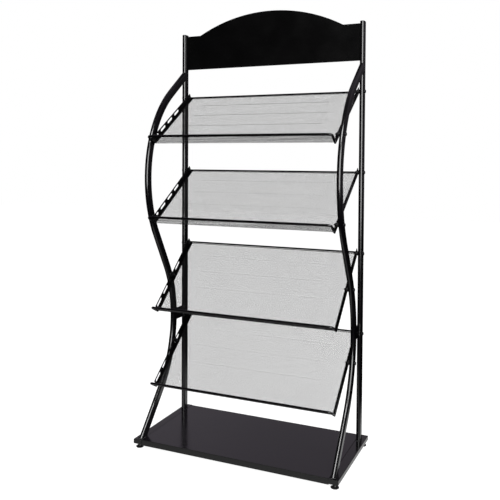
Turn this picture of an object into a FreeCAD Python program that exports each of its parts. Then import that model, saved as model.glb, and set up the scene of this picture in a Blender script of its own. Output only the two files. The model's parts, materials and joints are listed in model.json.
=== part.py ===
import FreeCAD
import Part
import Sketcher

import math
import os

# Floor-standing iron magazine rack: two side frames of flat-oval tube carry an arched header,
# four sloping expanded-metal shelves and a base board on levelling feet.
# Millimetres. +X is the viewer's right, the rack faces -Y, +Z is up. The origin is on the floor,
# midway between the rails and midway along them.

V = FreeCAD.Vector
X_AXIS = V(1, 0, 0)
Y_AXIS = V(0, 1, 0)
Z_AXIS = V(0, 0, 1)
SIDES = {"left": -1, "right": 1}
ENDS = {"front": -1, "rear": 1}
NEAR = 1e-6

# Driving dimensions: alias, value, note
SIZES = (
    ("tube_width", 15, "flat-oval tube, across its flats"),
    ("tube_depth", 30, "flat-oval tube, over its round edges"),
    ("tube_wall", 1.5, "tube wall"),
    ("weld_gap", 0.15, "gap left between welded curved faces"),
    ("post_spacing", 660, "between the centres of the posts"),
    ("post_overrun", 5, "open end of a post above the header's shoulders"),
    ("rail_offset", 5, "centre of a foot rail outside the centre of its post"),
    ("rear_overhang", 44, "from the centre of a post to the rear end of its rail"),
    ("front_overhang", 12.73, "from a curved tube's foot to the front end of its rail"),
    ("rail_clearance", 15, "from the floor to the underside of the rails"),
    ("cap_flange", 2, "visible thickness of a tube cap"),
    ("cap_plug", 7, "depth of a cap's plug in the tube"),
    ("cap_round", 1.2, "rounding of a cap's outer edge"),
    ("plug_clearance", 0.1, "between a cap's plug and the tube's bore"),
    ("bend_radius", 365, "curved tube, on its centre line"),
    ("waist_setback", 83, "from the centre of a post to the curved tube at its waist"),
    ("waist_height", 400, "height of the waist"),
    ("lean_angle", 31, "curved tube, slope of its middle run from upright"),
    ("lean_length", 139, "curved tube, straight middle run"),
    ("top_angle", 54, "curved tube, slope of its upper run from upright"),
    ("foot_angle", 41.5, "curved tube, slope of its lower run from upright"),
    ("tie_height", 40, "waist tie"),
    ("tie_thickness", 5, "waist tie"),
    ("header_lift", 17.83, "header above the top of the curved tubes"),
    ("header_side", 120, "height of the header at its shoulders"),
    ("arch_radius", 550, "header arch"),
    ("arch_rise", 68, "header arch above its shoulders"),
    ("header_depth", 13, "header pan, front to back"),
    ("sheet", 1.2, "header sheet"),
    ("header_gap", 0.2, "between the header and each post"),
    ("header_screw_inset", 25, "header screws from the shoulder and from the lower edge"),
    ("screw_shank", 4, "small screws"),
    ("screw_head", 8, "small screws"),
    ("screw_head_height", 2.4, "small screws"),
    ("screw_length", 12, "small screws, under the head"),
    ("screw_clearance", 0.15, "round a small screw"),
    ("board_margin", 2, "base board inside each end of the rails"),
    ("board_thickness", 15, "base board"),
    ("board_gap", 0.2, "between the base board and each rail"),
    ("board_round", 2, "rounding of the base board's front edge"),
    ("pilot_cover", 2, "board left above a pilot hole"),
    ("cleat_length", 40, "base board cleat, along the rail"),
    ("cleat_width", 46, "base board cleat, across the rail"),
    ("cleat_thickness", 3, "base board cleat"),
    ("cleat_spacing", 190, "between the cleats of one rail"),
    ("cleat_seat", 6, "cleat's outer edge past the centre of its rail"),
    ("shelf_spacing", 266, "height from one shelf to the next, at the rear"),
    ("shelf_drop", 88.17, "uppermost shelf's rear edge below the top of the curved tubes"),
    ("shelf_setback", 12, "rear edge of a shelf behind the centre of the posts"),
    ("first_tilt_angle", 32.7, "slope of the uppermost shelf"),
    ("second_tilt_angle", 33, "slope of the second shelf"),
    ("third_tilt_angle", 41, "slope of the third shelf"),
    ("fourth_tilt_angle", 38.5, "slope of the lowest shelf"),
    ("tray_overhang", 23.45, "fold of a shelf's lip past the farthest bolt in the curved tubes"),
    ("lip_height", 46, "lip with its rim"),
    ("lip_angle", 66, "lip, turned up from the plane of the shelf"),
    ("angle_sheet", 1.5, "side angle"),
    ("angle_upright", 19, "side angle above the plane of the shelf"),
    ("angle_leg", 10, "side angle under the mesh"),
    ("mesh_sheet", 1.2, "expanded metal"),
    ("mesh_strand", 5, "width of a strand of the mesh"),
    ("mesh_columns", 10, "openings across a shelf"),
    ("mesh_rows", 13, "staggered rows of openings along a shelf"),
    ("lip_columns", 16, "openings across a lip"),
    ("lip_rows", 1, "rows of openings up a lip"),
    ("mesh_border", 12, "plain border of the mesh"),
    ("lip_border", 4, "plain border of the lip"),
    ("side_clearance", 0.2, "between the mesh or a rod and the side angles"),
    ("rod", 6, "rear rod and front rim"),
    ("rim_bend", 9, "front rim, on its centre line at the corners"),
    ("slot_width", 9, "slot in a side angle"),
    ("slot_length", 36, "slot in a side angle"),
    ("slot_height", 10, "slots above the plane of the shelf"),
    ("slot_first", 119, "first slot from the rear edge"),
    ("slot_pitch", 55, "from one slot to the next"),
    ("slot_count", 4, "slots in a side angle"),
    ("rear_hole_inset", 8, "bolt hole at the post from the rear edge"),
    ("bolt_shank", 6, "shelf bolt"),
    ("bolt_clearance", 0.3, "round a shelf bolt"),
    ("bolt_head", 12, "shelf bolt"),
    ("bolt_head_height", 4, "shelf bolt"),
    ("bolt_head_round", 2.8, "rounding of a shelf bolt's head"),
    ("nut_flats", 10, "shelf nut, across its flats"),
    ("nut_height", 5, "shelf nut"),
    ("nut_flange", 14, "shelf nut"),
    ("nut_flange_height", 1.2, "shelf nut"),
    ("bolt_tail", 3, "shelf bolt past its nut"),
    ("spacer_outside", 14, "spacer between a side angle and a tube"),
    ("spacer_length", 6.5, "spacer between a side angle and a tube"),
    ("foot_inset", 14, "levelling foot from the end of its rail"),
    ("pad_diameter", 25, "levelling foot"),
    ("pad_rim", 3, "straight rim of a foot pad"),
    ("pad_slope", 14.6, "diameter of a foot pad halfway up its slope"),
    ("pad_neck", 12, "diameter of a foot pad at its top"),
    ("pad_height", 9.5, "foot pad"),
    ("stem", 8, "threaded stem of a foot"),
    ("stem_seat", 4, "underside of a stem above the floor"),
    ("stem_length", 20, "threaded stem"),
    ("stem_point", 1, "bevel at the top of a stem"),
    ("socket_clearance", 0.1, "round a stem in its pad"),
    ("thread_clearance", 0.05, "round a stem in its insert"),
    ("insert_outside", 11, "threaded insert in a rail"),
    ("insert_length", 10, "threaded insert inside the rail"),
    ("insert_flange", 15, "flange of a threaded insert under the rail"),
    ("insert_flange_height", 1, "flange of a threaded insert"),
)

# Sizes that follow from them on the sheet: alias, formula, note
DRIVEN = (
    ("tube_top", "waist_height + bend_radius * (2 * sin(lean_angle) + sin(top_angle))"
     " + lean_length * cos(lean_angle)"
     " + (waist_setback + bend_radius * (1 - 2 * cos(lean_angle) + cos(top_angle))"
     " + lean_length * sin(lean_angle)) / tan(top_angle)", "height at which a curved tube meets its post"),
    ("foot_reach", "waist_setback + bend_radius * (1 - cos(foot_angle))"
     " + (waist_height - bend_radius * sin(foot_angle) - rail_clearance) * tan(foot_angle)",
     "from the centre of a post to the foot of its curved tube"),
    ("rail_length", "rear_overhang + foot_reach + front_overhang", "foot rail without its caps"),
    ("header_base", "tube_top + header_lift", "height of the header's lower edge"),
    ("post_length", "header_base + header_side + post_overrun - rail_clearance - tube_width",
     "post, from the rail to its open end"),
    ("shelf_top", "tube_top - shelf_drop", "height of the uppermost shelf's rear edge"),
)

doc = FreeCAD.newDocument("magazine_rack")
sheet = doc.addObject("Spreadsheet::Sheet", "Sizes")


def write_size(row, alias, content, note):
    """Put one size on the sheet under its alias."""
    sheet.set(f"A{row}", note)
    sheet.set(f"B{row}", content)
    sheet.setAlias(f"B{row}", alias)


last_row = 0
for alias, amount, note in SIZES:
    last_row += 1
    write_size(last_row, alias, str(amount), note)
for alias, formula, note in DRIVEN:
    last_row += 1
    write_size(last_row, alias, "=" + formula, note)
doc.recompute()

subparts = []


def size(alias):
    """Value of one driving dimension."""
    return float(getattr(sheet, alias))


def value(formula):
    """Number that a formula on the sheet gives now."""
    return float(sheet.evalExpression(formula))


# Sizes that follow from the driving dimensions
POST_X = size("post_spacing") / 2
POST_Y = size("rail_length") / 2 - size("rear_overhang")
RAIL_X = POST_X + size("rail_offset")
RAIL_TOP = size("rail_clearance") + size("tube_width")
RAIL_MIDDLE = size("rail_clearance") + size("tube_width") / 2
TUBE_INSIDE = POST_X - size("tube_width") / 2
TUBE_OUTSIDE = POST_X + size("tube_width") / 2
TRAY_HALF = TUBE_INSIDE - size("spacer_length")
ANGLE_INSIDE = TRAY_HALF - size("angle_sheet")
FOOT_Y = size("rail_length") / 2 - size("foot_inset")
BOLT_HOLE = size("bolt_shank") + 2 * size("bolt_clearance")
SCREW_HOLE = size("screw_shank") + 2 * size("screw_clearance")
HEADER_HALF = "((Sizes.post_spacing - Sizes.tube_width) / 2 - Sizes.header_gap)"
SHELF_TILTS = [size(word + "_tilt_angle") for word in ("first", "second", "third", "fourth")]
SHELF_HEIGHTS = [size("shelf_top") - step * size("shelf_spacing") for step in range(len(SHELF_TILTS))]


# Document helpers

def keep(item, label, place=None):
    """Name a finished sub-part, place it and put it on the list that is written."""
    item.Label = label
    if place is not None:
        item.Placement = place
    subparts.append(item)
    return item


def bind(item, formulas):
    """Tie properties of an object to the sheet."""
    for name, formula in formulas.items():
        item.setExpression(name, formula)


def at(x, y, z, axis=Z_AXIS, angle=0.0):
    """Placement at a point, turned about an axis."""
    return FreeCAD.Placement(V(x, y, z), FreeCAD.Rotation(axis, angle))


def new_body(name):
    """Empty body."""
    return doc.addObject("PartDesign::Body", name)


def new_sketch(body, role, offset=V(0, 0, 0)):
    """Sketch on one of the body's own origin planes, shifted in that plane's frame."""
    plane = next(item for item in body.Origin.OriginFeatures if item.Role == role)
    sketch = body.newObject("Sketcher::SketchObject", body.Name + "_sketch")
    sketch.AttachmentSupport = [(plane, "")]
    sketch.MapMode = "FlatFace"
    sketch.AttachmentOffset = FreeCAD.Placement(offset, FreeCAD.Rotation())
    return sketch


def hold(sketch, name, formula, *constraint):
    """Add a dimension to a sketch and tie it to the sheet."""
    index = sketch.addConstraint(Sketcher.Constraint(*constraint, value(formula)))
    sketch.renameConstraint(index, name)
    sketch.setExpression("Constraints." + name, formula)


def add_oval(sketch, name, across, along, upright=True):
    """Flat-oval outline about the sketch's origin: two half circles joined by two flats."""
    radius = value(across) / 2
    reach = (value(along) - value(across)) / 2
    far = V(0, reach, 0) if upright else V(-reach, 0, 0)
    turn = 0.0 if upright else math.pi / 2
    first = sketch.addGeometry(Part.ArcOfCircle(Part.Circle(far, Z_AXIS, radius), turn, turn + math.pi))
    near = Part.Circle(-far, Z_AXIS, radius)
    second = sketch.addGeometry(Part.ArcOfCircle(near, turn + math.pi, turn + 2 * math.pi))
    sidewall = V(radius, 0, 0) if upright else V(0, radius, 0)
    down = sketch.addGeometry(Part.LineSegment(far - sidewall, -far - sidewall))
    back = sketch.addGeometry(Part.LineSegment(-far + sidewall, far + sidewall))
    for one, two in ((first, down), (down, second), (second, back), (back, first)):
        sketch.addConstraint(Sketcher.Constraint("Tangent", one, 2, two, 1))
    sketch.addConstraint(Sketcher.Constraint("Symmetric", first, 3, second, 3, -1, 1))
    sketch.addConstraint(Sketcher.Constraint("PointOnObject", first, 3, -2 if upright else -1))
    sketch.addConstraint(Sketcher.Constraint("Equal", first, second))
    hold(sketch, name + "_round", f"({across}) / 2", "Radius", first)
    length = f"({along}) - ({across})"
    if upright:
        hold(sketch, name + "_flat", length, "DistanceY", second, 3, first, 3)
    else:
        hold(sketch, name + "_flat", length, "DistanceX", first, 3, second, 3)


def add_outline(sketch, points):
    """Closed outline of straight level and upright runs, its first corner on the sketch's origin."""
    count = len(points)
    lines = []
    for index, point in enumerate(points):
        following = points[(index + 1) % count]
        line = sketch.addGeometry(Part.LineSegment(V(*point, 0), V(*following, 0)))
        level = abs(point[1] - following[1]) < abs(point[0] - following[0])
        sketch.addConstraint(Sketcher.Constraint("Horizontal" if level else "Vertical", line))
        lines.append(line)
    for index, line in enumerate(lines):
        sketch.addConstraint(Sketcher.Constraint("Coincident", line, 2, lines[(index + 1) % count], 1))
    sketch.addConstraint(Sketcher.Constraint("Coincident", lines[0], 1, -1, 1))
    return lines


def pad(body, sketch, length, symmetric=False):
    """Solid of a sketch, of a length on the sheet."""
    feature = body.newObject("PartDesign::Pad", body.Name + "_pad")
    feature.Profile = sketch
    feature.SideType = "Symmetric" if symmetric else "One side"
    feature.setExpression("Length", length)
    return feature


def round_edges(body, edges, radius):
    """Round edges of the body's last feature."""
    last = body.Tip
    feature = body.newObject("PartDesign::Fillet", body.Name + "_round")
    feature.Base = (last, edges)
    feature.setExpression("Radius", radius)


def cut_through(body, sketch):
    """Cut a sketch right through the body, both ways."""
    feature = body.newObject("PartDesign::Pocket", body.Name + "_cut")
    feature.Profile = sketch
    feature.Type = "ThroughAll"
    feature.SideType = "Symmetric"
    return feature


def cut_holes(body, diameter, centres):
    """Round holes along X through a body, at points of its own YZ plane."""
    sketch = new_sketch(body, "YZ_Plane")
    for centre in centres:
        hole = sketch.addGeometry(Part.Circle(V(*centre, 0), Z_AXIS, diameter / 2))
        sketch.addConstraint(Sketcher.Constraint("Block", hole))
    cut_through(body, sketch)


def turned(label, profile, place):
    """Turned piece from half of its section, given as radius and height."""
    edges = [V(radius, 0, height) for radius, height in profile]
    face = Part.Face(Part.makePolygon(edges + edges[:1]))
    item = doc.addObject("Part::Feature", label)
    item.Shape = face.revolve(V(0, 0, 0), Z_AXIS, 360)
    return keep(item, label, place)


def group(label, shape, places):
    """Copies of one small part, kept together as separate solids."""
    copies = []
    for place in places:
        copy = shape.copy()
        copy.Placement = place
        copies.append(copy)
    item = doc.addObject("Part::Feature", label)
    item.Shape = Part.makeCompound(copies)
    return keep(item, label)


# Curved tube path and the places that follow from it

def path_points():
    """Corner points and bend centres of the curved tube's centre line, as (y, z) from the floor up."""
    radius = size("bend_radius")
    lean = math.radians(size("lean_angle"))
    top = math.radians(size("top_angle"))
    foot = math.radians(size("foot_angle"))
    waist = (POST_Y - size("waist_setback"), size("waist_height"))
    lower = (waist[0] - radius, waist[1])
    foot_end = (lower[0] + radius * math.cos(foot), lower[1] - radius * math.sin(foot))
    lean_start = (lower[0] + radius * math.cos(lean), lower[1] + radius * math.sin(lean))
    run = size("lean_length")
    lean_end = (lean_start[0] - run * math.sin(lean), lean_start[1] + run * math.cos(lean))
    upper = (lean_end[0] + radius * math.cos(lean), lean_end[1] + radius * math.sin(lean))
    top_start = (upper[0] - radius * math.cos(top), upper[1] + radius * math.sin(top))
    start = (POST_Y - size("foot_reach"), size("rail_clearance"))
    end = (POST_Y, size("tube_top"))
    bulge = (upper[0] - radius, upper[1])
    return start, foot_end, waist, lean_start, lean_end, bulge, top_start, end


def path_wire():
    """Centre line of a curved tube: three straight runs joined by two tangent arcs."""
    points = [V(0, y, z) for y, z in path_points()]
    start, foot_end, waist, lean_start, lean_end, bulge, top_start, end = points
    return Part.Wire([
        Part.LineSegment(start, foot_end).toShape(),
        Part.Arc(foot_end, waist, lean_start).toShape(),
        Part.LineSegment(lean_start, lean_end).toShape(),
        Part.Arc(lean_end, bulge, top_start).toShape(),
        Part.LineSegment(top_start, end).toShape(),
    ])


def crossing(tilt, height):
    """Distance along a shelf at which its line of slots crosses the curved tube's centre line."""
    path = path_wire()
    near = shelf_point(tilt, height, 0.0)
    far = shelf_point(tilt, height, size("rail_length"))
    line = Part.makeLine(V(0, *near), V(0, *far))
    meeting = line.distToShape(path)[1][0][0]
    return math.hypot(meeting.y - near[0], meeting.z - near[1])


def shelf_point(tilt, height, along, above=None):
    """Point (y, z) of a shelf at a distance from its rear edge and above its plane."""
    above = size("slot_height") if above is None else above
    angle = math.radians(tilt)
    y = POST_Y + size("shelf_setback") - along * math.cos(angle) - above * math.sin(angle)
    z = height - along * math.sin(angle) + above * math.cos(angle)
    return y, z


POST_BOLTS = []
TUBE_BOLTS = []
farthest = 0.0
for shelf_tilt, shelf_height in zip(SHELF_TILTS, SHELF_HEIGHTS):
    along = crossing(shelf_tilt, shelf_height)
    farthest = max(farthest, along)
    POST_BOLTS.append(shelf_point(shelf_tilt, shelf_height, size("rear_hole_inset")))
    TUBE_BOLTS.append(shelf_point(shelf_tilt, shelf_height, along))
write_size(last_row + 1, "tray_length", str(farthest + size("tray_overhang")),
           "shelf, from its rear edge to the fold of its lip")
doc.recompute()
HEADER_SCREWS = [
    size("header_base") + size("header_screw_inset"),
    size("header_base") + size("header_side") - size("header_screw_inset"),
]


# Side frames

def oval_tube(name, role, upright, length, symmetric):
    """Straight run of the flat-oval tube."""
    body = new_body(name)
    sketch = new_sketch(body, role)
    add_oval(sketch, "outer", "Sizes.tube_width", "Sizes.tube_depth", upright)
    inner = ("Sizes.tube_width - 2 * Sizes.tube_wall", "Sizes.tube_depth - 2 * Sizes.tube_wall")
    add_oval(sketch, "inner", *inner, upright)
    pad(body, sketch, length, symmetric)
    return body


def make_post(side):
    """Rear post, drilled for the shelf bolts and the header screws."""
    body = oval_tube("rear_post_" + side, "XY_Plane", True, "Sizes.post_length", False)
    doc.recompute()
    cut_holes(body, BOLT_HOLE, [(y - POST_Y, z - RAIL_TOP) for y, z in POST_BOLTS])
    cut_holes(body, SCREW_HOLE, [(0, z - RAIL_TOP) for z in HEADER_SCREWS])
    keep(body, "rear_post_" + side, at(SIDES[side] * POST_X, POST_Y, RAIL_TOP))


def make_rail(side):
    """Foot rail lying flat, drilled below for the inserts of the feet."""
    body = oval_tube("foot_rail_" + side, "XZ_Plane", False, "Sizes.rail_length", True)
    doc.recompute()
    sketch = new_sketch(body, "XY_Plane")
    for end in ENDS.values():
        hole = Part.Circle(V(0, end * FOOT_Y, 0), Z_AXIS, size("insert_outside") / 2 + size("weld_gap"))
        sketch.addConstraint(Sketcher.Constraint("Block", sketch.addGeometry(hole)))
    drill = body.newObject("PartDesign::Pocket", body.Name + "_drill")
    drill.Profile = sketch
    drill.setExpression("Length", "Sizes.tube_width")
    keep(body, "foot_rail_" + side, at(SIDES[side] * RAIL_X, 0, RAIL_MIDDLE))


def make_cap(label, place):
    """Plastic cap: a rounded flange on a plug that fits the tube's bore."""
    body = new_body(label)
    sketch = new_sketch(body, "XY_Plane")
    add_oval(sketch, "flange", "Sizes.tube_width", "Sizes.tube_depth")
    pad(body, sketch, "Sizes.cap_flange")
    doc.recompute()
    edges = [f"Edge{index}" for index, edge in enumerate(body.Shape.Edges, start=1)
             if all(abs(vertex.Z - size("cap_flange")) < NEAR for vertex in edge.Vertexes)]
    round_edges(body, edges, "Sizes.cap_round")
    plug = new_sketch(body, "XY_Plane")
    inset = "2 * (Sizes.tube_wall + Sizes.plug_clearance)"
    add_oval(plug, "plug", f"Sizes.tube_width - {inset}", f"Sizes.tube_depth - {inset}")
    pad(body, plug, "Sizes.cap_plug").Reversed = True
    keep(body, label, place)


def oval_wire(across, along, centre, run):
    """Flat-oval outline square to a run in the YZ plane, its round edges in that plane."""
    reach = (along - across) / 2
    out = run.cross(X_AXIS).normalize()
    half = X_AXIS * (across / 2)
    tip = out * (reach + across / 2)
    corner = out * reach
    return Part.Wire([
        Part.Arc(centre + corner - half, centre + tip, centre + corner + half).toShape(),
        Part.LineSegment(centre + corner + half, centre - corner + half).toShape(),
        Part.Arc(centre - corner + half, centre - tip, centre - corner - half).toShape(),
        Part.LineSegment(centre - corner - half, centre + corner - half).toShape(),
    ])


def make_curved_tube(side):
    """Tube bent to an S, cut level on its rail, coped to its post and drilled for the shelf bolts."""
    wire = path_wire()
    first = wire.Edges[0]
    run = first.tangentAt(first.FirstParameter)
    start = first.valueAt(first.FirstParameter)
    wall = 2 * size("tube_wall")
    outer = oval_wire(size("tube_width"), size("tube_depth"), start, run)
    inner = oval_wire(size("tube_width") - wall, size("tube_depth") - wall, start, run)
    tube = wire.makePipeShell([outer], True, False).cut(wire.makePipeShell([inner], True, False))
    span = size("rail_length")
    below = Part.makeBox(span, 2 * span, RAIL_TOP + span, V(-span / 2, -span, -span))
    gap = 2 * size("weld_gap")
    cope = oval_wire(size("tube_width") + gap, size("tube_depth") + gap, V(0, POST_Y, 0), Z_AXIS)
    cope = Part.Face(cope).extrude(V(0, 0, size("post_length")))
    drills = [Part.makeCylinder(BOLT_HOLE / 2, span, V(-span / 2, y, z), X_AXIS) for y, z in TUBE_BOLTS]
    item = doc.addObject("Part::Feature", "curved_tube_" + side)
    item.Shape = tube.cut([below, cope] + drills)
    keep(item, "curved_tube_" + side, at(SIDES[side] * POST_X, 0, 0))


def make_tie(side):
    """Flat plate between the waist of a curved tube and its post."""
    tie = doc.addObject("Part::Box", "waist_tie_" + side)
    bind(tie, {
        "Length": "Sizes.tie_thickness",
        "Width": "Sizes.waist_setback - Sizes.tube_depth - 2 * Sizes.weld_gap",
        "Height": "Sizes.tie_height",
    })
    front = POST_Y - size("waist_setback") + size("tube_depth") / 2 + size("weld_gap")
    place = at(SIDES[side] * POST_X - size("tie_thickness") / 2, front,
               size("waist_height") - size("tie_height") / 2)
    keep(tie, "waist_tie_" + side, place)


# Header

def add_header_outline(sketch, inset):
    """Outline of the header: level base, upright sides, shoulders and an arch between them."""
    half = value(f"{HEADER_HALF} - {inset}")
    side = value(f"Sizes.header_side - 2 * {inset}")
    chord = f"2 * sqrt(2 * Sizes.arch_rise * (Sizes.arch_radius - {inset}) - pow(Sizes.arch_rise; 2))"
    reach = value(chord) / 2
    crown = side + size("arch_rise")

    def add_line(one, two):
        return sketch.addGeometry(Part.LineSegment(V(*one, 0), V(*two, 0)))

    base = add_line((-half, 0), (half, 0))
    right = add_line((half, 0), (half, side))
    right_shoulder = add_line((half, side), (reach, side))
    arch = sketch.addGeometry(Part.Arc(V(reach, side, 0), V(0, crown, 0), V(-reach, side, 0)))
    left_shoulder = add_line((-reach, side), (-half, side))
    left = add_line((-half, side), (-half, 0))
    chain = [(base, 2, right, 1), (right, 2, right_shoulder, 1), (right_shoulder, 2, arch, 1),
             (arch, 2, left_shoulder, 1), (left_shoulder, 2, left, 1), (left, 2, base, 1)]
    for joint in chain:
        sketch.addConstraint(Sketcher.Constraint("Coincident", *joint))
    for line in (base, right_shoulder, left_shoulder):
        sketch.addConstraint(Sketcher.Constraint("Horizontal", line))
    for line in (right, left):
        sketch.addConstraint(Sketcher.Constraint("Vertical", line))
    sketch.addConstraint(Sketcher.Constraint("Symmetric", base, 1, base, 2, -1, 1))
    sketch.addConstraint(Sketcher.Constraint("Symmetric", arch, 1, arch, 2, -2))
    hold(sketch, "span", f"2 * ({HEADER_HALF} - {inset})", "DistanceX", base, 1, base, 2)
    hold(sketch, "side", f"Sizes.header_side - 2 * {inset}", "DistanceY", right, 1, right, 2)
    hold(sketch, "chord", chord, "DistanceX", arch, 2, arch, 1)
    hold(sketch, "arch", f"Sizes.arch_radius - {inset}", "Radius", arch)


def make_header():
    """Arched header: a folded pan, open at the back, drilled in its sides for the screws."""
    body = new_body("header_panel")
    face = new_sketch(body, "XZ_Plane")
    add_header_outline(face, "0")
    pad(body, face, "Sizes.header_depth")
    doc.recompute()
    hollow = new_sketch(body, "XZ_Plane", V(0, size("sheet"), 0))
    add_header_outline(hollow, "Sizes.sheet")
    pocket = body.newObject("PartDesign::Pocket", "header_hollow")
    pocket.Profile = hollow
    pocket.Reversed = True
    pocket.setExpression("Length", "Sizes.header_depth - Sizes.sheet")
    doc.recompute()
    middle = -size("header_depth") / 2
    cut_holes(body, SCREW_HOLE, [(middle, z - size("header_base")) for z in HEADER_SCREWS])
    keep(body, "header_panel", at(0, POST_Y - middle, size("header_base")))


# Fasteners

def screw():
    """Small pan-head screw along +Z, its head below the origin."""
    shank = Part.makeCylinder(size("screw_shank") / 2, size("screw_length"))
    head = Part.makeCylinder(size("screw_head") / 2, size("screw_head_height"), V(0, 0, 0), -Z_AXIS)
    return shank.fuse(head).removeSplitter()


def make_header_screws():
    """Screws from inside the header pan into the posts."""
    seat = value(HEADER_HALF) - size("sheet")
    places = [at(sign * seat, POST_Y, z, Y_AXIS, sign * 90) for sign in SIDES.values() for z in HEADER_SCREWS]
    group("header_screws", screw(), places)


def bolt():
    """Button-head shelf bolt along -X from the outer flat of a tube."""
    length = TUBE_OUTSIDE - ANGLE_INSIDE + size("nut_height") + size("bolt_tail")
    radius = size("bolt_head") / 2
    shank = Part.makeCylinder(size("bolt_shank") / 2, length, V(0, 0, 0), -X_AXIS)
    head = Part.makeCylinder(radius, size("bolt_head_height"), V(0, 0, 0), X_AXIS)
    rim = [edge for edge in head.Edges if edge.Closed and edge.CenterOfMass.x > size("bolt_head_height") / 2]
    head = head.makeFillet(size("bolt_head_round"), rim)
    return shank.fuse(head).removeSplitter()


def nut():
    """Flanged nut along -X from the inner face of a side angle."""
    reach = size("nut_flats") / math.sqrt(3)
    corners = [V(0, reach * math.cos(math.radians(60 * k)), reach * math.sin(math.radians(60 * k)))
               for k in range(6)]
    hexagon = Part.Face(Part.makePolygon(corners + corners[:1])).extrude(-X_AXIS * size("nut_height"))
    flange = Part.makeCylinder(size("nut_flange") / 2, size("nut_flange_height"), V(0, 0, 0), -X_AXIS)
    bore = Part.makeCylinder(BOLT_HOLE / 2, size("nut_height"), V(0, 0, 0), -X_AXIS)
    return hexagon.fuse(flange).cut(bore).removeSplitter()


def spacer():
    """Spacer along +X from the outer face of a side angle to the tube."""
    length = size("spacer_length")
    sleeve = Part.makeCylinder(size("spacer_outside") / 2, length, V(0, 0, 0), X_AXIS)
    return sleeve.cut(Part.makeCylinder(BOLT_HOLE / 2, length, V(0, 0, 0), X_AXIS))


def make_shelf_fasteners():
    """Bolts, nuts and spacers at every place where a side angle meets a tube."""
    for label, part, reach in (("shelf_bolts", bolt(), TUBE_OUTSIDE), ("shelf_nuts", nut(), ANGLE_INSIDE),
                               ("shelf_spacers", spacer(), TRAY_HALF)):
        places = []
        for sign in SIDES.values():
            turn = 0 if sign > 0 else 180
            places += [at(sign * reach, y, z, Z_AXIS, turn) for y, z in POST_BOLTS + TUBE_BOLTS]
        group(label, part, places)


# Base

def cleat_places():
    """Inner corner (x, y) of each cleat, with the side it is on."""
    places = []
    for sign in SIDES.values():
        for end in ENDS.values():
            outer = RAIL_X + size("cleat_seat")
            x = outer - size("cleat_width") if sign > 0 else -outer
            places.append((x, end * size("cleat_spacing") / 2 - size("cleat_length") / 2, sign))
    return places


def cleat_screws():
    """Centres (x, y) of the screws that hold the board to its cleats."""
    inset = size("screw_head")
    points = []
    for x, y, sign in cleat_places():
        from_corner = inset if sign > 0 else size("cleat_width") - inset
        points.append((x + from_corner, y + size("cleat_length") / 2))
    return points


def make_base_board():
    """Board between the rails, its front edge rounded, with pilot holes for the cleat screws."""
    body = new_body("base_board")
    sketch = new_sketch(body, "XY_Plane")
    wide = "Sizes.post_spacing + 2 * Sizes.rail_offset - Sizes.tube_depth - 2 * Sizes.board_gap"
    deep = "Sizes.rail_length - 2 * Sizes.board_margin"
    width = value(wide)
    depth = value(deep)
    lines = add_outline(sketch, [(0, 0), (width, 0), (width, depth), (0, depth)])
    hold(sketch, "wide", wide, "Distance", lines[0])
    hold(sketch, "deep", deep, "Distance", lines[1])
    pad(body, sketch, "Sizes.board_thickness")
    doc.recompute()
    edges = [f"Edge{index}" for index, edge in enumerate(body.Shape.Edges, start=1)
             if abs(edge.CenterOfMass.y) < NEAR and edge.Length > size("board_thickness") + NEAR]
    round_edges(body, edges, "Sizes.board_round")
    doc.recompute()
    corner = V(-width / 2, -depth / 2, RAIL_TOP - size("board_thickness"))
    pilots = new_sketch(body, "XY_Plane")
    for x, y in cleat_screws():
        hole = Part.Circle(V(x - corner.x, y - corner.y, 0), Z_AXIS, SCREW_HOLE / 2)
        pilots.addConstraint(Sketcher.Constraint("Block", pilots.addGeometry(hole)))
    drill = body.newObject("PartDesign::Pocket", "board_pilots")
    drill.Profile = pilots
    drill.Reversed = True
    drill.setExpression("Length", "min(Sizes.screw_length; Sizes.board_thickness - Sizes.pilot_cover)")
    keep(body, "base_board", at(corner.x, corner.y, corner.z))


def make_cleats():
    """Plates under the rails that carry the board, and their screws."""
    thick = size("cleat_thickness")
    under = RAIL_TOP - size("board_thickness") - thick
    plates = [Part.makeBox(size("cleat_width"), size("cleat_length"), thick, V(x, y, under))
              for x, y, _ in cleat_places()]
    drills = [Part.makeCylinder(SCREW_HOLE / 2, thick, V(x, y, under)) for x, y in cleat_screws()]
    item = doc.addObject("Part::Feature", "board_cleats")
    item.Shape = Part.makeCompound([plate.cut(drills) for plate in plates])
    keep(item, "board_cleats")
    group("board_screws", screw(), [at(x, y, under) for x, y in cleat_screws()])


def make_foot(end, side):
    """Levelling foot: a flared pad and its threaded stem."""
    place = at(SIDES[side] * RAIL_X, ENDS[end] * FOOT_Y, 0)
    rim = size("pad_diameter") / 2
    neck = size("pad_neck") / 2
    socket = size("stem") / 2 + size("socket_clearance")
    halfway = (size("pad_rim") + size("pad_height")) / 2
    pad_profile = [(0, 0), (rim - size("cap_round"), 0), (rim, size("cap_round")), (rim, size("pad_rim")),
                   (size("pad_slope") / 2, halfway), (neck, size("pad_height")), (socket, size("pad_height")),
                   (socket, size("stem_seat")), (0, size("stem_seat"))]
    turned(f"foot_pad_{end}_{side}", pad_profile, place)
    radius = size("stem") / 2
    bottom = size("stem_seat")
    top = bottom + size("stem_length")
    point = size("stem_point")
    stem_profile = [(0, bottom), (radius, bottom), (radius, top - point), (radius - point, top), (0, top)]
    turned(f"foot_stem_{end}_{side}", stem_profile, place)


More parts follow.
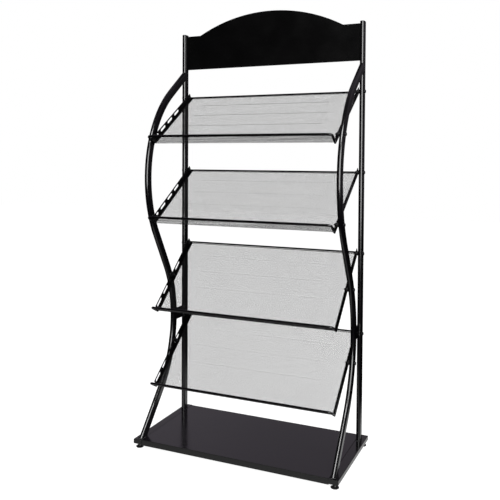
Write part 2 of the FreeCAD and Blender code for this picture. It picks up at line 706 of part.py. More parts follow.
def make_inserts():
    """Threaded inserts in the undersides of the rails."""
    bore = size("stem") / 2 + size("thread_clearance")
    outside = size("insert_outside") / 2
    flange = size("insert_flange") / 2
    below = -size("insert_flange_height")
    profile = [(bore, below), (flange, below), (flange, 0), (outside, 0), (outside, size("insert_length")),
               (bore, size("insert_length"))]
    corners = [V(radius, 0, height) for radius, height in profile]
    sleeve = Part.Face(Part.makePolygon(corners + corners[:1])).revolve(V(0, 0, 0), Z_AXIS, 360)
    places = [at(sign * RAIL_X, end * FOOT_Y, size("rail_clearance"))
              for sign in SIDES.values() for end in ENDS.values()]
    group("foot_inserts", sleeve, places)


# Shelves

def make_side_angle(label, side, place, tube_bolt):
    """Slotted side angle of a shelf, drilled at the post and where it crosses the curved tube."""
    sign = SIDES[side]
    body = new_body(label)
    sketch = new_sketch(body, "XZ_Plane", V(0, 0, -size("rod")))
    leg = size("angle_leg")
    thick = size("angle_sheet")
    high = thick + size("angle_upright")
    inward = [(0, 0), (0, high), (-thick, high), (-thick, thick), (-leg, thick), (-leg, 0)]
    lines = add_outline(sketch, [(sign * x, z) for x, z in inward])
    hold(sketch, "high", "Sizes.angle_upright + Sizes.angle_sheet", "Distance", lines[0])
    hold(sketch, "upright_edge", "Sizes.angle_sheet", "Distance", lines[1])
    hold(sketch, "leg_edge", "Sizes.angle_sheet", "Distance", lines[4])
    hold(sketch, "leg", "Sizes.angle_leg", "Distance", lines[5])
    pad(body, sketch, "Sizes.tray_length + Sizes.rod / 2 - Sizes.weld_gap")
    doc.recompute()
    slot_z = thick + size("slot_height")
    cut_holes(body, BOLT_HOLE, [(-size("rear_hole_inset"), slot_z), (-tube_bolt, slot_z)])
    slot = new_sketch(body, "YZ_Plane", V(-size("slot_first"), slot_z, 0))
    add_oval(slot, "slot", "Sizes.slot_width", "Sizes.slot_length", False)
    cut = cut_through(body, slot)
    row = body.newObject("PartDesign::LinearPattern", label + "_slots")
    row.Originals = [cut]
    row.Direction = (slot, ["H_Axis"])
    row.Reversed = True
    row.Mode = "Spacing"
    bind(row, {"Offset": "Sizes.slot_pitch", "Occurrences": "Sizes.slot_count"})
    body.Tip = row
    shift = at(sign * TRAY_HALF, 0, -thick)
    keep(body, label, place.multiply(shift))


def mesh_sheet(half_width, length, rows, columns, border):
    """Flat sheet of diamond openings in staggered rows, from y = 0 towards -y."""
    outline = Part.makePolygon([V(-half_width, 0, 0), V(half_width, 0, 0), V(half_width, -length, 0),
                                V(-half_width, -length, 0), V(-half_width, 0, 0)])
    half_x = (half_width - border) / columns
    half_y = (length - 2 * border) / (rows + 1)
    inset = size("mesh_strand") / 2 * math.hypot(half_x, half_y) / (half_x * half_y)
    reach = V(half_x * (1 - inset), 0, 0)
    rise = V(0, half_y * (1 - inset), 0)
    openings = []
    for row in range(rows):
        stagger = row % 2
        for column in range(columns - stagger):
            x = -half_width + border + (2 * column + 1 + stagger) * half_x
            centre = V(x, -border - (row + 1) * half_y, 0)
            openings.append(Part.makePolygon([centre - reach, centre + rise, centre + reach, centre - rise,
                                              centre - reach]))
    face = Part.makeFace([outline] + openings, "Part::FaceMakerBullseye")
    return face.extrude(Z_AXIS * size("mesh_sheet"))


def round_lip(lip, half_width, length):
    """Round the free corners of a lip to lie inside the bends of its rim."""
    corners = []
    for edge in lip.Edges:
        middle = edge.CenterOfMass
        if abs(abs(middle.x) - half_width) < NEAR and abs(middle.y + length) < NEAR:
            corners.append(edge)
    return lip.makeFillet(size("rim_bend") - size("rod") / 2, corners)


def make_mesh(label, shape, place):
    """Sheet of expanded metal as a sub-part."""
    item = doc.addObject("Part::Feature", label)
    item.Shape = shape
    keep(item, label, place)


def make_rod(label, half_length, place):
    """Rod along X, centred on its placement."""
    rod = doc.addObject("Part::Cylinder", label)
    bind(rod, {"Radius": "Sizes.rod / 2"})
    rod.Height = 2 * half_length
    keep(rod, label, place.multiply(at(-half_length, 0, 0, Y_AXIS, 90)))


def make_rim(label, place):
    """Rod bent to a U: along the top of a lip and down both of its edges to the fold."""
    reach = TRAY_HALF - size("rod") / 2
    top = size("rod") / 2 - size("lip_height")
    bend = size("rim_bend")
    middle = bend * (1 - math.sqrt(0.5))
    legs = {}
    for sign in SIDES.values():
        foot = V(sign * reach, 0, 0)
        leg_end = V(sign * reach, top + bend, 0)
        bar_end = V(sign * (reach - bend), top, 0)
        corner = Part.Arc(leg_end, V(sign * (reach - middle), top + middle, 0), bar_end)
        legs[sign] = (Part.LineSegment(foot, leg_end).toShape(), corner.toShape(), bar_end, foot)
    bar = Part.LineSegment(legs[-1][2], legs[1][2]).toShape()
    path = Part.Wire(Part.sortEdges([*legs[-1][:2], bar, *legs[1][:2]])[0])
    start = path.OrderedVertexes[0].Point
    outline = Part.Wire(Part.makeCircle(size("rod") / 2, start, Y_AXIS))
    item = doc.addObject("Part::Feature", label)
    item.Shape = path.makePipeShell([outline], True, False)
    keep(item, label, place)


def make_shelf(number, tilt, height):
    """One shelf: side angles, mesh, lip, rear rod and front rim."""
    name = f"shelf_{number}"
    rear = at(0, POST_Y + size("shelf_setback"), height, X_AXIS, tilt)
    for side in SIDES:
        make_side_angle(f"{name}_angle_{side}", side, rear, crossing(tilt, height))
    inside = TRAY_HALF - size("rod") - size("side_clearance")
    tray = mesh_sheet(inside, size("tray_length"), int(size("mesh_rows")), int(size("mesh_columns")),
                      size("mesh_border"))
    make_mesh(name + "_mesh", tray, rear)
    front = -size("tray_length") - size("weld_gap")
    fold = rear.multiply(at(0, front, 0, X_AXIS, -size("lip_angle")))
    lip_length = size("lip_height") - size("rod")
    lip = mesh_sheet(inside, lip_length, int(size("lip_rows")), int(size("lip_columns")), size("lip_border"))
    lip = round_lip(lip, inside, lip_length)
    make_mesh(name + "_lip", lip, fold.multiply(at(0, 0, -size("mesh_sheet"))))
    radius = size("rod") / 2
    make_rod(name + "_rear_rod", ANGLE_INSIDE - size("side_clearance"), rear.multiply(at(0, radius, radius)))
    make_rim(name + "_rim", fold.multiply(at(0, 0, -size("mesh_sheet") / 2)))


# Assembly

for side_name in SIDES:
    make_post(side_name)
    top = RAIL_TOP + size("post_length")
    make_cap("post_cap_" + side_name, at(SIDES[side_name] * POST_X, POST_Y, top))
    make_curved_tube(side_name)
    make_tie(side_name)
    make_rail(side_name)
    for end_name, end_sign in ENDS.items():
        outward = FreeCAD.Rotation(X_AXIS, -90 * end_sign).multiply(FreeCAD.Rotation(Z_AXIS, 90))
        centre = V(SIDES[side_name] * RAIL_X, end_sign * size("rail_length") / 2, RAIL_MIDDLE)
        make_cap(f"rail_cap_{end_name}_{side_name}", FreeCAD.Placement(centre, outward))
        make_foot(end_name, side_name)
make_inserts()
make_base_board()
make_cleats()
make_header()
make_header_screws()
for index, (shelf_tilt, shelf_height) in enumerate(zip(SHELF_TILTS, SHELF_HEIGHTS), start=1):
    make_shelf(index, shelf_tilt, shelf_height)
make_shelf_fasteners()
doc.recompute()

# Check every object, then write the sub-parts
for item in doc.Objects:
    if "Invalid" in item.State or "Error" in item.State:
        raise RuntimeError(f"{item.Label} failed: {item.State}")
for item in subparts:
    if item.Shape.isNull() or not item.Shape.isValid():
        raise RuntimeError(f"{item.Label} has no valid shape")
os.makedirs("parts", exist_ok=True)
for item in subparts:
    item.Shape.exportStep(f"parts/{item.Label}.step")
print(len(subparts), "sub-parts written")
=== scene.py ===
"""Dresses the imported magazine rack: finishes, expanded metal, fasteners, base, welds, stage and camera."""
import json
import logging
from dataclasses import dataclass
from enum import Enum, StrEnum
from functools import partial
from math import copysign, cos, pi, radians, sin
from typing import Any, Callable, Sequence

import bmesh
import bpy
from bpy.types import Material, Mesh, Node, NodeSocket, NodeTree, Object, World
from mathutils import Euler, Matrix, Vector


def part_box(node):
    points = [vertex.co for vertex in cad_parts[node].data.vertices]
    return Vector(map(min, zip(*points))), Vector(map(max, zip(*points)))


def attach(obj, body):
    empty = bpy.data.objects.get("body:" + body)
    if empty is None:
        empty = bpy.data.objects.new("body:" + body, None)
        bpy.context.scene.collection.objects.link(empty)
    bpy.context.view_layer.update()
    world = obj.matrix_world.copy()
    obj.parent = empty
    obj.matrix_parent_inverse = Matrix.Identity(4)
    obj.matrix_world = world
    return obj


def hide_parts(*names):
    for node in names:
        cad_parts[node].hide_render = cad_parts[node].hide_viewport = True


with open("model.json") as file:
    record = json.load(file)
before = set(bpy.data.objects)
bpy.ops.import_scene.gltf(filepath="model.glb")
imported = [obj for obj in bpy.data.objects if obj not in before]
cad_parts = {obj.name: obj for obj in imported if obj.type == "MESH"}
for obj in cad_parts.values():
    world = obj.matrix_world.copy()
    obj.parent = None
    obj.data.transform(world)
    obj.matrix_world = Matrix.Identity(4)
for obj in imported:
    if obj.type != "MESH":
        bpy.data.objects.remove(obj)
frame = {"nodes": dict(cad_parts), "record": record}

log = logging.getLogger("magazine_rack")
MM = 0.001
MERGE = 0.001 * MM
TURNED_STEPS = 24
ROUND_STEPS = 4
SMOOTH = {"interpolation_type": "SMOOTHSTEP"}
ROOT_BODY = "rack"
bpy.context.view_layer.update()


class Side(StrEnum):
    """Side of the rack, as nodes are named."""

    LEFT = "left"
    RIGHT = "right"


class End(StrEnum):
    """End of a foot rail, as nodes are named."""

    FRONT = "front"
    REAR = "rear"


class Slot(Enum):
    """Material slots of the record."""

    TUBE = "coated_tube"
    SHEET = "coated_sheet"
    MESH = "expanded_mesh"
    BOARD = "board_laminate"
    PLASTIC = "black_plastic"
    ZINC = "zinc_steel"


class Outline(Enum):
    """Shape of one ring of a turned or forged piece."""

    ROUND = "round"
    HEX = "hexagon"
    CROSS = "cross recess"


class Socket(Enum):
    """Kind of a tree's named input."""

    NUMBER = "NodeSocketFloat"
    COUNT = "NodeSocketInt"
    VECTOR = "NodeSocketVector"
    OBJECT = "NodeSocketObject"
    FINISH = "NodeSocketMaterial"


class Texture(Enum):
    """Pattern of a finish's relief."""

    NOISE = "ShaderNodeTexNoise"
    CELLS = "ShaderNodeTexVoronoi"


def linear(colour: str) -> tuple[float, ...]:
    """Turn an sRGB hex colour into linear light.

    Args:
        colour: six hex digits, with a leading hash sign.

    Returns:
        Linear red, green, blue and an alpha of one.
    """
    parts = [int(colour[index:index + 2], 16) / 255 for index in (1, 3, 5)]
    light = [part / 12.92 if part <= 0.04045 else ((part + 0.055) / 1.055) ** 2.4 for part in parts]
    return (*light, 1.0)


def add_node(tree: NodeTree, kind: str, inputs: dict[Any, Any] | None = None, **settings: Any) -> Node:
    """Add a node with its settings, values and links.

    Args:
        tree: tree that gets the node.
        kind: Blender's name for the node's type.
        inputs: socket name or number to a value, or to what feeds it: a socket, a node, which stands for its
            first output, or a list of them.
        settings: properties of the node.

    Returns:
        The new node.
    """
    node = tree.nodes.new(kind)
    for name, value in settings.items():
        setattr(node, name, value)
    for key, value in (inputs or {}).items():
        for feed in value if isinstance(value, list) else [value]:
            if isinstance(feed, Node):
                feed = feed.outputs[0]
            if isinstance(feed, NodeSocket):
                tree.links.new(feed, node.inputs[key])
            else:
                node.inputs[key].default_value = feed
    return node


def blank(owner: Material | World) -> Callable[..., Node]:
    """Clear the nodes of a material or a world.

    Args:
        owner: the material or the world.

    Returns:
        The function that adds nodes to it.
    """
    owner.use_nodes = True
    owner.node_tree.nodes.clear()
    return partial(add_node, owner.node_tree)


def add_object(name: str, data: bpy.types.ID) -> Object:
    """Add an object to the scene.

    Args:
        name: name of the object.
        data: its mesh, light or camera.

    Returns:
        The object.
    """
    item = bpy.data.objects.new(name, data)
    bpy.context.scene.collection.objects.link(item)
    return item


def mount(piece: Object, node: str | None = None, body: str = ROOT_BODY) -> None:
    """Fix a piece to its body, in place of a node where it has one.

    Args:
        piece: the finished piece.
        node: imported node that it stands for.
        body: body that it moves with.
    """
    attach(piece, body)
    if node:
        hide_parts(node)
    log.info("%s: %d faces on %s", piece.name, len(piece.data.polygons), body)


def corners_of(node: str) -> list[Vector]:
    """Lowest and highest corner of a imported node's box."""
    return [Vector(corner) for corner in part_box(node)]


def middle_of(node: str) -> Vector:
    """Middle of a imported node's box."""
    low, high = corners_of(node)
    return (low + high) / 2


def merged(node: str) -> bmesh.types.BMesh:
    """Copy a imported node's mesh, with its split corners joined.

    Args:
        node: name of the node.

    Returns:
        The copy, which the caller frees.
    """
    shape = bmesh.new()
    shape.from_mesh(frame["nodes"][node].data)
    bmesh.ops.remove_doubles(shape, verts=shape.verts, dist=MERGE)
    return shape


def loose_boxes(node: str) -> list[list[Vector]]:
    """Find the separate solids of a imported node.

    Args:
        node: name of the node.

    Returns:
        Lowest and highest corner of each solid.
    """
    shape = merged(node)
    boxes = []
    seen = set()
    for seed in shape.verts:
        if seed in seen:
            continue
        seen.add(seed)
        solid = [seed]
        for vert in solid:
            for edge in vert.link_edges:
                other = edge.other_vert(vert)
                if other not in seen:
                    seen.add(other)
                    solid.append(other)
        boxes.append([Vector([bound(vert.co[axis] for vert in solid) for axis in range(3)])
                      for bound in (min, max)])
    shape.free()
    return boxes


def quarter() -> list[tuple[float, float]]:
    """Shares of a quarter round: along its first edge from 1 to 0, and along its second from 0 to 1."""
    turns = [pi / 2 * step / ROUND_STEPS for step in range(ROUND_STEPS + 1)]
    return [(1 - sin(turn), 1 - cos(turn)) for turn in turns]


def eased(corners: Sequence[tuple[float, float, float]]) -> list[Vector]:
    """Round the square corners of a flat outline.

    Args:
        corners: two coordinates of each corner, and the radius there, which may be zero.

    Returns:
        Points of the outline, two coordinates each.
    """
    points = []
    for index, (across, up, radius) in enumerate(corners):
        corner = Vector((across, up))
        before = (Vector(corners[index - 1][:2]) - corner).normalized()
        after = (Vector(corners[(index + 1) % len(corners)][:2]) - corner).normalized()
        for first, second in quarter() if radius else [(0, 0)]:
            points.append(corner + radius * (before * first + after * second))
    return points


def around(reach: Callable[[float], float], height: float) -> list[Vector]:
    """Lay a ring of points about +Z.

    Args:
        reach: radius at an angle.
        height: height of the ring.

    Returns:
        Points of the ring.
    """
    points = []
    for step in range(TURNED_STEPS):
        angle = 2 * pi * step / TURNED_STEPS
        radius = reach(angle)
        points.append(Vector((radius * cos(angle), radius * sin(angle), height)))
    return points


def skin(name: str, outlines: Sequence[Sequence[Vector]], bored: bool = False) -> Mesh:
    """Join outlines with as many points each into a closed mesh.

    Args:
        name: name of the mesh.
        outlines: closed outlines, in order.
        bored: whether the last outline goes back to the first, leaving a hole.

    Returns:
        The mesh, its faces pointing outwards.
    """
    shape = bmesh.new()
    rings = [[shape.verts.new(point) for point in outline] for outline in outlines]
    for ring, following in zip(rings, rings[1:] + rings[:bored]):
        for index in range(len(ring)):
            shape.faces.new((ring[index - 1], ring[index], following[index], following[index - 1]))
    if not bored:
        shape.faces.new(rings[0])
        shape.faces.new(rings[-1])
    bmesh.ops.recalc_face_normals(shape, faces=shape.faces)
    mesh = bpy.data.meshes.new(name)
    shape.to_mesh(mesh)
    shape.free()
    return mesh


@dataclass(frozen=True)
class Finish:
    """Surface in two tones: clouds mix them and sway the gloss, and a fine relief may break it up."""

    name: str
    colour: str
    second: str
    roughness: float
    cloud_mm: float
    cloud_detail: float = 3.0
    cloud_roughness: float = 0.5
    spread: float = 0.0
    sway: tuple[float, float] = (0.3, 0.7)
    specular: float = 0.5
    metallic: float = 0.0
    relief: Texture = Texture.NOISE
    relief_mm: float = 0.0
    relief_detail: float = 3.0
    relief_roughness: float = 0.5
    relief_height_mm: float = 0.02
    relief_strength: float = 0.3

    def build(self) -> Material:
        """Make the material.

        Returns:
            The finished material.
        """
        material = bpy.data.materials.new(self.name)
        add = blank(material)
        place = add("ShaderNodeTexCoord").outputs["Object"]
        cloud = add("ShaderNodeTexNoise", {
            "Vector": place, "Scale": 1 / (self.cloud_mm * MM), "Detail": self.cloud_detail,
            "Roughness": self.cloud_roughness})
        tint = add("ShaderNodeMix", {
            "Factor": cloud, 6: linear(self.colour), 7: linear(self.second)}, data_type="RGBA")
        surface = {"Base Color": tint.outputs[2], "Metallic": self.metallic, "Roughness": self.roughness,
                   "Specular IOR Level": self.specular}
        if self.spread:
            surface["Roughness"] = add("ShaderNodeMapRange", {
                "Value": cloud, "From Min": self.sway[0], "From Max": self.sway[1],
                "To Min": self.roughness - self.spread / 2, "To Max": self.roughness + self.spread / 2})
        if self.relief_mm:
            relief = add(self.relief.value, {
                "Vector": place, "Scale": 1 / (self.relief_mm * MM), "Detail": self.relief_detail,
                "Roughness": self.relief_roughness})
            surface["Normal"] = add("ShaderNodeBump", {
                "Height": relief, "Strength": self.relief_strength, "Distance": self.relief_height_mm * MM})
        add("ShaderNodeOutputMaterial", {"Surface": add("ShaderNodeBsdfPrincipled", surface)})
        return material


@dataclass(frozen=True)
class PowderCoat(Finish):
    """Baked polyester powder on steel: near black, glossy, with the faint ripple of orange peel."""

    name: str = "black powder coat"
    colour: str = "#020203"
    second: str = "#060506"
    roughness: float = 0.17
    spread: float = 0.05
    cloud_mm: float = 70.0
    relief_mm: float = 3.0
    relief_detail: float = 2.0
    relief_roughness: float = 0.4
    relief_strength: float = 0.35


@dataclass(frozen=True)
class LaminateBoard(Finish):
    """Melamine laminate pressed with a fine pearl: charcoal, satin, softly mirroring the posts."""

    name: str = "charcoal melamine laminate"
    colour: str = "#070508"
    second: str = "#0d0b0f"
    roughness: float = 0.16
    spread: float = 0.05
    cloud_mm: float = 45.0
    cloud_detail: float = 5.0
    cloud_roughness: float = 0.6
    relief: Texture = Texture.CELLS
    # The real pearl is finer: it is drawn as coarse as it needs to show.
    relief_mm: float = 1.6
    relief_detail: float = 0.0


@dataclass(frozen=True)
class MouldedNylon(Finish):
    """Injection-moulded nylon: black, half dull, with a spark-eroded grain."""

    name: str = "moulded black nylon"
    colour: str = "#070707"
    second: str = "#131313"
    roughness: float = 0.38
    specular: float = 0.3
    # The real grain is finer: tone and relief are drawn as coarse as they need to show.
    cloud_mm: float = 0.8
    relief_mm: float = 0.8
    relief_height_mm: float = 0.03
    relief_strength: float = 0.5


@dataclass(frozen=True)
class ZincPlate(Finish):
    """Black passivated zinc on turned steel: dark, half mirrored, faintly clouded."""

    name: str = "black passivated zinc"
    colour: str = "#29292b"
    second: str = "#1d1d1f"
    roughness: float = 0.42
    spread: float = 0.16
    sway: tuple[float, float] = (0.0, 1.0)
    metallic: float = 1.0
    cloud_mm: float = 4.0
    cloud_detail: float = 4.0


class Finishes:
    """The rack's materials, one for each slot of the record."""

    def __init__(self) -> None:
        """Build every material once."""
        finishes: dict[Slot, Finish] = {
            Slot.TUBE: PowderCoat(),
            Slot.SHEET: PowderCoat("black powder coat on sheet", "#010101", "#030303", 0.2, specular=0.4),
            Slot.MESH: PowderCoat("black powder coat on strands", roughness=0.5, specular=0.2),
            Slot.BOARD: LaminateBoard(),
            Slot.PLASTIC: MouldedNylon(),
            Slot.ZINC: ZincPlate(),
        }
        self.of: dict[Slot, Material] = {slot: finish.build() for slot, finish in finishes.items()}

    def dress_nodes(self) -> None:
        """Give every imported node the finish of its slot."""
        for entry in frame["record"]["subparts"]:
            node = frame["nodes"][entry["node"]]
            node.data.materials.clear()
            node.data.materials.append(self.of[Slot(entry["material_slot"])])

    def dress(self, mesh: Mesh, slot: Slot, node: str | None = None, body: str = ROOT_BODY) -> None:
        """Make a piece of a mesh with the piece's name, in the finish of its slot, and mount it."""
        mesh.materials.append(self.of[slot])
        mount(add_object(mesh.name, mesh), node, body)


class MeshTree:
    """Geometry Nodes tree with named inputs, and the way to turn its result into a plain mesh."""

    def __init__(self, name: str, sockets: dict[Socket, Sequence[str]]) -> None:
        """Start a tree.

        Args:
            name: name of the tree.
            sockets: kind of input to the names of its inputs.
        """
        self.tree = bpy.data.node_groups.new(name, "GeometryNodeTree")
        self.add: Callable[..., Node] = partial(add_node, self.tree)
        for way in ("INPUT", "OUTPUT"):
            self.tree.interface.new_socket("Geometry", in_out=way, socket_type="NodeSocketGeometry")
        self.identifiers: dict[str, str] = {}
        for kind, names in {**sockets, Socket.FINISH: ("Finish",)}.items():
            for socket in names:
                item = self.tree.interface.new_socket(socket, in_out="INPUT", socket_type=kind.value)
                self.identifiers[socket] = item.identifier
        self.given = self.add("NodeGroupInput").outputs

    def finish(self, geometry: Node) -> None:
        """End the tree with Realize Instances and Set Material.

        Args:
            geometry: node with what the tree has made.
        """
        plain = self.add("GeometryNodeRealizeInstances", {"Geometry": geometry})
        dressed = self.add("GeometryNodeSetMaterial", {"Geometry": plain, "Material": self.given["Finish"]})
        self.add("NodeGroupOutput", {"Geometry": dressed})

    def make(self, name: str, values: dict[str, Any], base: Mesh | None = None) -> Object:
        """Run the tree and keep its result as a plain mesh at the origin.

        Args:
            name: name of the piece.
            values: input name to value.
            base: mesh that the tree starts from.

        Returns:
            The finished piece, without a modifier.
        """
        piece = add_object(name, base or bpy.data.meshes.new(name + "_base"))
        modifier = piece.modifiers.new("nodes", "NODES")
        modifier.node_group = self.tree
        for key, value in values.items():
            modifier[self.identifiers[key]] = value
        graph = bpy.context.evaluated_depsgraph_get()
        mesh = bpy.data.meshes.new_from_object(piece.evaluated_get(graph))
        piece.modifiers.remove(modifier)
        mesh.name = name
        piece.data = mesh
        return piece


class ExpandedMetal(MeshTree):
    """Tree that lays twisted strands on a grid of bonds, presses beads across and leaves a plain margin."""

    def __init__(self) -> None:
        """Build the tree."""
        super().__init__("expanded metal", {
            Socket.COUNT: ("Columns", "Rows"),
            Socket.VECTOR: ("Diamond", "Span", "Centre", "Margin Size", "Margin Place"),
            Socket.NUMBER: (
                "Strand Width", "Strand Thickness", "Twist", "First Bead", "Second Bead", "Last Bead",
                "Bead Reach", "Bead Pull", "Bead Height", "Bead End", "Bead Full")})
        add, given = self.add, self.given
        sheet = add("GeometryNodeInstanceOnPoints", {"Points": self._bonds(), "Instance": self._cross()})
        plain = add("GeometryNodeRealizeInstances", {"Geometry": sheet})
        beaded = add("GeometryNodeSetPosition", {"Geometry": plain, "Offset": self._beads()})
        strip = add("GeometryNodeMeshCube", {"Size": given["Margin Size"]})
        margin = add("GeometryNodeTransform", {"Geometry": strip, "Translation": given["Margin Place"]})
        self.finish(add("GeometryNodeJoinGeometry", {"Geometry": [beaded, margin]}))

    def _bonds(self) -> Node:
        """Place the bonds, from the sheet's rear edge towards -Y and centred on X.

        Returns:
            Node with the points.
        """
        span = self.add("ShaderNodeSeparateXYZ", {0: self.given["Span"]})
        grid = self.add("GeometryNodeMeshGrid", {
            "Size X": span.outputs["X"], "Size Y": span.outputs["Y"],
            "Vertices X": self.given["Columns"], "Vertices Y": self.given["Rows"]})
        return self.add("GeometryNodeTransform", {"Geometry": grid, "Translation": self.given["Centre"]})

    def _cross(self) -> Node:
        """Cross two strands at a bond, each reaching half a diamond both ways.

        Returns:
            Node with the mesh of one bond.
        """
        add, given = self.add, self.given
        section = add("GeometryNodeCurvePrimitiveQuadrilateral", {
            "Width": given["Strand Width"], "Height": given["Strand Thickness"]}, mode="RECTANGLE")
        strands = []
        for slant in (0.5, -0.5):
            start, end = [add("ShaderNodeVectorMath", {0: given["Diamond"], 1: way}, operation="MULTIPLY")
                          for way in ((-0.5, -slant, 0.0), (0.5, slant, 0.0))]
            line = add("GeometryNodeCurvePrimitiveLine", {"Start": start, "End": end})
            level = add("GeometryNodeSetCurveNormal", {"Curve": line}, mode="Z_UP")
            twisted = add("GeometryNodeSetCurveTilt", {"Curve": level, "Tilt": given["Twist"]})
            strands.append(add("GeometryNodeCurveToMesh", {
                "Curve": twisted, "Profile Curve": section, "Fill Caps": True}))
        return add("GeometryNodeJoinGeometry", {"Geometry": strands})

    def _beads(self) -> Node:
        """Lift the pressed beads, draw the diamonds in towards them and fade both ends.

        Returns:
            Node with the offset of each point.
        """
        add, given = self.add, self.given
        point = add("ShaderNodeSeparateXYZ", {0: add("GeometryNodeInputPosition")}).outputs
        step = add("ShaderNodeMapRange", {
            "Value": point["Y"], "From Min": given["First Bead"], "From Max": given["Second Bead"]},
            clamp=False)
        whole = add("ShaderNodeMath", {0: step}, operation="ROUND")
        nearest = add("ShaderNodeClamp", {"Value": whole, "Min": 0.0, "Max": given["Last Bead"]})
        away = add("ShaderNodeMath", {0: step, 1: nearest}, operation="SUBTRACT")
        gap, side = [add("ShaderNodeMath", {0: value}, operation="ABSOLUTE") for value in (away, point["X"])]
        across = add("ShaderNodeMapRange", {
            "Value": gap, "From Min": given["Bead Reach"], "From Max": 0.0}, **SMOOTH)
        along = add("ShaderNodeMapRange", {
            "Value": side, "From Min": given["Bead End"], "From Max": given["Bead Full"]}, **SMOOTH)
        share = add("ShaderNodeMath", {0: across, 1: along}, operation="MULTIPLY")
        drawn = add("ShaderNodeMath", {0: away, 1: given["Bead Pull"]}, operation="MULTIPLY")
        offset = add("ShaderNodeCombineXYZ", {"Y": drawn, "Z": given["Bead Height"]})
        return add("ShaderNodeVectorMath", {0: offset, "Scale": share}, operation="SCALE")


class Copies(MeshTree):
    """Tree that sets copies of one part on points, each turned by the point's own angles."""

    TURN = "turn"

    def __init__(self) -> None:
        """Build the tree."""
        super().__init__("copies on points", {Socket.OBJECT: ("Part",)})
        part = self.add("GeometryNodeObjectInfo", {"Object": self.given["Part"]})
        turn = self.add("GeometryNodeInputNamedAttribute", {"Name": self.TURN}, data_type="FLOAT_VECTOR")
        rotation = self.add("FunctionNodeEulerToRotation", {0: turn})
        self.finish(self.add("GeometryNodeInstanceOnPoints", {
            "Points": self.given["Geometry"], "Instance": part.outputs["Geometry"], "Rotation": rotation}))

    def place(self, name: str, part: Mesh, spots: Sequence[tuple[Vector, Euler]],
              finish: Material) -> Object:
        """Set copies of a part on spots.

        Args:
            name: name of the piece.
            part: mesh of one copy.
            spots: place and turn of each copy.
            finish: material of the copies.

        Returns:
            The finished piece.
        """
        points = bpy.data.meshes.new(name + "_points")
        points.from_pydata([place for place, _ in spots], [], [])
        turns = points.attributes.new(self.TURN, "FLOAT_VECTOR", "POINT")
        for entry, (_, turn) in zip(turns.data, spots):
            entry.vector = turn[:]
        pattern = add_object(name + "_pattern", part)
        piece = self.make(name, {"Part": pattern, "Finish": finish}, points)
        bpy.data.objects.remove(pattern)
        return piece


class WeldBead(MeshTree):
    """Tree that lays the overlapping ripples of a weld along a seam."""

    FACETS = 8
    RINGS = 5

    def __init__(self) -> None:
        """Build the tree."""
        super().__init__("weld bead", {Socket.NUMBER: ("Pitch", "Radius"), Socket.VECTOR: ("Squash",)})
        add, given = self.add, self.given
        seam = add("GeometryNodeMeshToCurve", {"Mesh": given["Geometry"]})
        spots = add("GeometryNodeCurveToPoints", {"Curve": seam, "Length": given["Pitch"]}, mode="LENGTH")
        drop = add("GeometryNodeMeshUVSphere", {
            "Segments": self.FACETS, "Rings": self.RINGS, "Radius": given["Radius"]})
        smooth = add("GeometryNodeSetShadeSmooth", {"Geometry": drop})
        self.finish(add("GeometryNodeInstanceOnPoints", {
            "Points": spots, "Instance": smooth, "Rotation": spots.outputs["Rotation"],
            "Scale": given["Squash"]}))


class Drilled(MeshTree):
    """Tree that drills a row of upright holes through a piece."""

    FACETS = 32

    def __init__(self) -> None:
        """Build the tree."""
        super().__init__("drilled row", {
            Socket.VECTOR: ("First", "Step"), Socket.COUNT: ("Count",), Socket.NUMBER: ("Radius", "Depth")})
        add, given = self.add, self.given
        row = add("GeometryNodeMeshLine", {
            "Count": given["Count"], "Start Location": given["First"], "Offset": given["Step"]})
        drill = add("GeometryNodeMeshCylinder", {
            "Vertices": self.FACETS, "Radius": given["Radius"], "Depth": given["Depth"]})
        drills = add("GeometryNodeInstanceOnPoints", {"Points": row, "Instance": drill})
        self.finish(add("GeometryNodeMeshBoolean", {
            "Mesh 1": given["Geometry"], "Mesh 2": drills}, operation="DIFFERENCE"))


